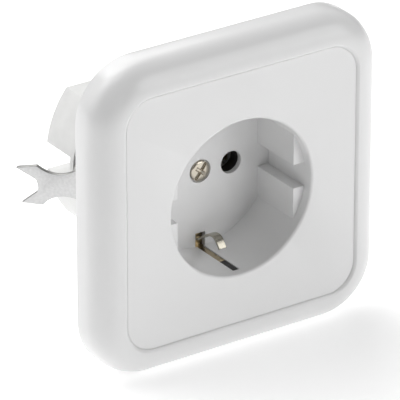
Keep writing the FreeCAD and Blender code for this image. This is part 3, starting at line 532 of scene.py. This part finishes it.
# %% Turn a section about the Y axis
def lathe(work, section, segments, place):
    """Add a solid of revolution: section is (radius, y) from axis to axis."""
    rows = []
    for radius, y in section:
        if radius < 1e-6:
            rows.append([work.verts.new(place @ Vector((0, y * MM, 0)))])
            continue
        row = []
        for i in range(segments):
            a = 2 * math.pi * i / segments
            point = Vector((radius * MM * math.cos(a), y * MM, radius * MM * math.sin(a)))
            row.append(work.verts.new(place @ point))
        rows.append(row)
    for near, far in zip(rows, rows[1:]):
        for i in range(segments):
            corners = [near[i % len(near)], near[(i + 1) % len(near)],
                       far[(i + 1) % len(far)], far[i % len(far)]]
            work.faces.new(list(dict.fromkeys(corners)))
    bmesh.ops.recalc_face_normals(work, faces=work.faces)


def block(work, size, place):
    """Add a box of this size in millimetres, tapered towards +Y by its fourth number."""
    wide, deep, high, taper = size
    corners = []
    for y, scale in ((0.0, 1.0), (deep, taper)):
        for sx, sz in ((-1, -1), (1, -1), (1, 1), (-1, 1)):
            point = Vector((sx * wide / 2 * scale * MM, y * MM, sz * high / 2 * scale * MM))
            corners.append(work.verts.new(place @ point))
    for face in ((0, 1, 2, 3), (7, 6, 5, 4), (0, 4, 5, 1), (1, 5, 6, 2), (2, 6, 7, 3), (3, 7, 4, 0)):
        work.faces.new([corners[i] for i in face])


def carve(piece, cuts):
    """Take each cutter, a function that fills a mesh, out of a piece."""
    for fill in cuts:
        work = bmesh.new()
        fill(work)
        bmesh.ops.recalc_face_normals(work, faces=work.faces)
        mesh = bpy.data.meshes.new("cutter")
        work.to_mesh(mesh)
        work.free()
        cutter = bpy.data.objects.new("cutter", mesh)
        bpy.context.scene.collection.objects.link(cutter)
        cut = piece.modifiers.new("Cut", "BOOLEAN")
        cut.operation, cut.solver, cut.object = "DIFFERENCE", "EXACT", cutter
        baked(piece)
        bpy.data.objects.remove(cutter)


# %% [markdown]
# One function then makes any screw from its head, its shank and its recess. The head's rim is rounded
# by a quarter of an ellipse, because a sharp rim would give no highlight. The recess is cut with exact
# booleans, which leave clean corners where slot and cross meet.

# %% Make a screw
def make_screw(name, node, material, place, head, shank, slot, cross=0.0, turn=0.0):
    """head is (radius, height, dome) and shank (radius, length); the head's seat is at y = 0."""
    radius, height, dome = head
    thin, long = shank
    work = bmesh.new()
    front = -height + dome
    outline = [(0.0, -height)]
    for i in range(1, 9):
        a = math.radians(90 * i / 8)
        reach = radius * 0.6 + radius * 0.4 * math.sin(a) if i > 2 else radius * 0.3 * i
        outline.append((reach, front - dome * math.cos(a)))
    outline += [(radius, -0.12), (radius - 0.1, 0.0), (thin, 0.0)]
    outline += [(thin, long - 0.5), (thin - 0.45, long), (0.0, long)]
    lathe(work, outline, 56, place)
    mesh = bpy.data.meshes.new(name)
    work.to_mesh(mesh)
    work.free()
    piece = bpy.data.objects.new(name, mesh)
    bpy.context.scene.collection.objects.link(piece)
    spin = place @ Matrix.Rotation(math.radians(turn), 4, "Y")
    lift = spin @ Matrix.Translation((0, (-height - 0.2) * MM, 0))
    cuts = [lambda w: block(w, (slot, 0.85, 2.4 * radius, 1.0), lift)]
    if cross:
        cuts.append(lambda w: block(w, (cross, 1.35, 1.1, 0.45), lift))
        cuts.append(lambda w: block(w, (1.1, 1.35, cross, 0.45), lift))
    carve(piece, cuts)
    mesh = piece.data
    sharpen(mesh, 35.0)
    mesh.materials.clear()
    mesh.materials.append(material)
    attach(piece, BODY_OF[node])
    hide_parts(node)
    return piece


def middle(node):
    low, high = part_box(node)
    return [(a + b) / 2 for a, b in zip(low, high)]


def along_y(node, seat):
    """Where a screw that runs along Y stands: seat is the depth of its head's underside."""
    x, y, z = middle(node)
    return Matrix.Translation((x, seat, z))


# %% The screws of the cover, the claws and the terminals
cover_low, cover_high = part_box("cover_screw")
COVER_SEAT = cover_low[1] + 1.2 * MM
make_screw("cover_screw_turned", "cover_screw", nickel, along_y("cover_screw", COVER_SEAT),
           (2.8, 1.2, 0.45), (1.7, (cover_high[1] - COVER_SEAT) / MM), 1.0, cross=3.8, turn=38.0)
TERMINAL_SCREW = ((2.6, 1.8, 0.4), (1.45, 4.5), 0.8)
for side, turn in (("left", -30.0), ("right", 65.0)):
    node = "claw_screw_" + side
    low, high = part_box(node)
    seat = low[1] + 1.9 * MM
    make_screw(node + "_turned", node, zinc_turned, along_y(node, seat),
               (2.8, 1.9, 0.5), (1.42, (high[1] - seat) / MM), 0.9, turn=20.0)
    node = "live_terminal_screw_" + side
    x, y, z = middle(node)
    top = Matrix.Translation((x, y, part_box(node)[1][2] - 1.8 * MM))
    top = top @ Matrix.Rotation(-math.pi / 2, 4, "X")
    make_screw(node + "_turned", node, nickel, top, *TERMINAL_SCREW, turn=turn)
node = "earth_terminal_screw"
x, y, z = middle(node)
under = Matrix.Translation((x, y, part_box(node)[0][2] + 1.8 * MM))
under = under @ Matrix.Rotation(math.pi / 2, 4, "X")
make_screw(node + "_turned", node, nickel, under, *TERMINAL_SCREW, turn=15.0)
print("turned six screws")

# %% [markdown]
# The four small screws of the carrier are one part, so their turned copies are one piece too. Each has
# only a turned dimple, because their recess faces the cover and never shows.

# %% The carrier's screws
def small_screws():
    low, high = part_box("carrier_screws")
    reach_x, reach_z = high[0] - 2.1 * MM, high[2] - 2.1 * MM
    seat = low[1] + 1.4 * MM
    work = bmesh.new()
    for sx in (-1, 1):
        for sz in (-1, 1):
            place = Matrix.Translation((sx * reach_x, seat, sz * reach_z))
            outline = [(0.0, -0.6), (0.3, -0.65), (0.75, -1.32), (1.2, -1.36), (1.7, -1.2), (2.05, -0.8),
                       (2.1, -0.3), (2.05, 0.0), (1.1, 0.0), (1.1, 5.6), (0.2, 6.5), (0.0, 6.5)]
            lathe(work, outline, 24, place)
    mesh = bpy.data.meshes.new("carrier_screws_turned")
    work.to_mesh(mesh)
    work.free()
    sharpen(mesh, 35.0)
    return own_mesh("carrier_screws_turned", mesh, zinc_turned, "socket_body", "carrier_screws")


small_screws()

# %% [markdown]
# ## Threads
# A thread is a ridge that climbs the shank by one pitch a turn. The tree draws a spiral of that pitch
# and sweeps a small triangle along it. Only the claws' screws and the cover's screw need one: the
# others end inside their blocks.

# %% The thread tree
thread_tree, inp, out = new_shape_tree("ScrewThread", [
    ("Turns", NUMBER, 20.0), ("Radius", NUMBER, 0.0014),
    ("Length", NUMBER, 0.01), ("Ridge", NUMBER, 0.00022)])
spiral = add(thread_tree, "GeometryNodeCurveSpiral", Resolution=18, Rotations=inp["Turns"],
             Start_Radius=inp["Radius"], End_Radius=inp["Radius"], Height=inp["Length"])
ridge = add(thread_tree, "GeometryNodeCurvePrimitiveCircle", {"mode": "RADIUS"},
            Resolution=3, Radius=inp["Ridge"])
sweep = add(thread_tree, "GeometryNodeCurveToMesh", Curve=spiral.outputs[0], Profile_Curve=ridge.outputs[0])
smooth = add(thread_tree, "GeometryNodeSetShadeSmooth", Geometry=sweep.outputs[0])
finish_tree(thread_tree, smooth.outputs[0], zinc_turned, out)


def thread(node, start, end, radius, pitch):
    """A thread from start to end, in metres along Y, on the axis of a screw."""
    x, y, z = middle(node)
    turn = Matrix.Translation((x, start, z)) @ Matrix.Rotation(-math.pi / 2, 4, "X")
    length = end - start
    values = {"Turns": length / pitch, "Radius": radius, "Length": length, "Ridge": pitch * 0.32}
    return grown(node + "_thread", thread_tree, values, BODY_OF[node], turn)


for side in ("left", "right"):
    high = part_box("claw_screw_" + side)[1]
    thread("claw_screw_" + side, 0.004, high[1] - 0.0005, 0.00134, 0.0005)
thread("cover_screw", 0.0115, cover_high[1] - 0.0005, 0.0016, 0.0006)

# %% [markdown]
# ## Camera, floor and light
# The camera stands to the left of the socket and above it, far away behind a long lens, so that the
# square cover keeps nearly parallel sides. The floor is a white sheet that glows a little, as a lit
# table does, so that it stays white and the shadow on it stays faint. The key light stands in front on
# the right and reaches into the recess, and the others stand behind, so that the outer sides of the
# cover are brighter than its front.

# %% Camera
AZIMUTH, ELEVATION, DISTANCE = math.radians(-34.57), math.radians(25.90), 1.2077
flat = math.cos(ELEVATION)
back = Vector((math.sin(AZIMUTH) * flat, -math.cos(AZIMUTH) * flat, math.sin(ELEVATION)))
right = Vector((math.cos(AZIMUTH), math.sin(AZIMUTH), 0.0))
up = back.cross(right)
aim = Vector((0.0, -0.0106, 0.0))
seat = aim + back * DISTANCE
look_at = aim - right * (42.6 / 4800 * DISTANCE) - up * (1.9 / 4800 * DISTANCE)
lens = bpy.data.cameras.new("camera")
lens.lens = 432.0
lens.sensor_width = 36.0
lens.clip_start, lens.clip_end = 0.05, 20.0
camera = bpy.data.objects.new("camera", lens)
camera.location = seat
camera.rotation_euler = (look_at - seat).to_track_quat("-Z", "Y").to_euler()
bpy.context.scene.collection.objects.link(camera)
bpy.context.scene.camera = camera
print("camera at", [round(c, 3) for c in seat])

# %% Floor and surroundings
floor_mesh = bpy.data.meshes.new("floor")
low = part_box("cover_frame")[0][2] - 0.00005
floor_mesh.from_pydata([(-3, -3, low), (3, -3, low), (3, 3, low), (-3, 3, low)], [], [(0, 1, 2, 3)])
floor = bpy.data.objects.new("floor", floor_mesh)
bpy.context.scene.collection.objects.link(floor)
paper, tree, shader = new_material("floor_paper")
shader.inputs["Base Color"].default_value = (0.95, 0.95, 0.95, 1.0)
shader.inputs["Roughness"].default_value = 0.9
shader.inputs["Specular IOR Level"].default_value = 0.1
shader.inputs["Emission Color"].default_value = (1.0, 1.0, 1.0, 1.0)
shader.inputs["Emission Strength"].default_value = 0.37
floor_mesh.materials.append(paper)

world = bpy.data.worlds.new("studio")
bpy.context.scene.world = world
world.use_nodes = True
world.node_tree.nodes["Background"].inputs["Color"].default_value = (1.0, 1.0, 1.0, 1.0)
world.node_tree.nodes["Background"].inputs["Strength"].default_value = 0.04


# %% [markdown]
# A soft light is a glowing square. Its size against its distance sets how soft the shadows are, and
# its direction is given as it is for a camera: degrees round from the front, then degrees up.

# %% Lights
def soft_light(name, azimuth, elevation, distance, size, power):
    """A square soft light that looks at the socket from this direction."""
    data = bpy.data.lights.new(name, "AREA")
    data.shape = "SQUARE"
    data.size = size
    data.energy = power
    lamp = bpy.data.objects.new(name, data)
    a, e = math.radians(azimuth), math.radians(elevation)
    away = Vector((math.sin(a) * math.cos(e), -math.cos(a) * math.cos(e), math.sin(e)))
    lamp.location = away * distance
    lamp.rotation_euler = away.to_track_quat("Z", "Y").to_euler()
    bpy.context.scene.collection.objects.link(lamp)
    return lamp


soft_light("key_right", 35.0, 25.0, 1.2, 0.9, 6.5)
soft_light("fill_left", -35.0, 30.0, 1.2, 0.9, 0.8)
soft_light("back_left", -125.0, 35.0, 1.0, 0.8, 3.1)
soft_light("high_back_left", -150.0, 60.0, 0.8, 0.6, 2.8)
soft_light("back", 170.0, 45.0, 1.0, 0.8, 4.8)
soft_light("side_right", 100.0, 30.0, 1.0, 0.8, 0.5)
bpy.context.scene.view_settings.view_transform = "Standard"
print("lights:", [lamp.name for lamp in bpy.data.lights])
